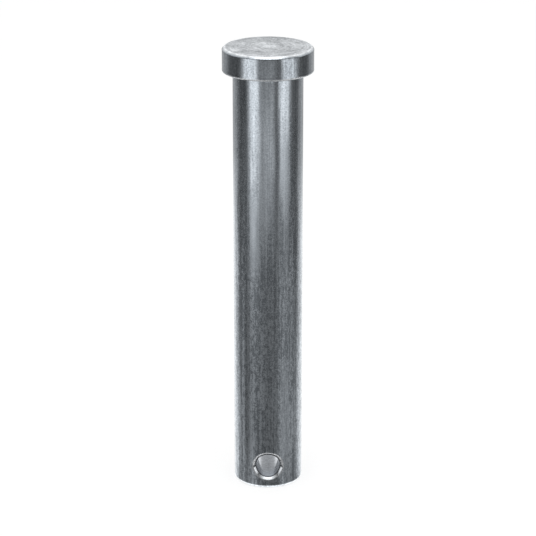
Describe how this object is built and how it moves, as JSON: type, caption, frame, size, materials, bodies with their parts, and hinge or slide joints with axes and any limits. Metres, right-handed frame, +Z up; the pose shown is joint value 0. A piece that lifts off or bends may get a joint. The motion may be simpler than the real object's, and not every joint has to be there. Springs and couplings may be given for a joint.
{
  "type": "clevis pin",
  "caption": "Round steel pin with a flat bevelled head and a cross hole near its point, which holds a clevis and is kept in by a split pin.",
  "frame": {"origin": "middle of the flat end face at the pin's point, on which it stands", "axes": "+Z up the pin's axis from the point to the head; Y along the cross hole"},
  "size_m": [0.0122, 0.0122, 0.0622],
  "materials": {
    "zinc_plated_steel": "dull grey zinc plating over drawn steel, streaked along the shank and swirled on the head"
  },
  "bodies": {
    "root": {"clevis_pin": "zinc_plated_steel"}
  },
  "joints": []
}
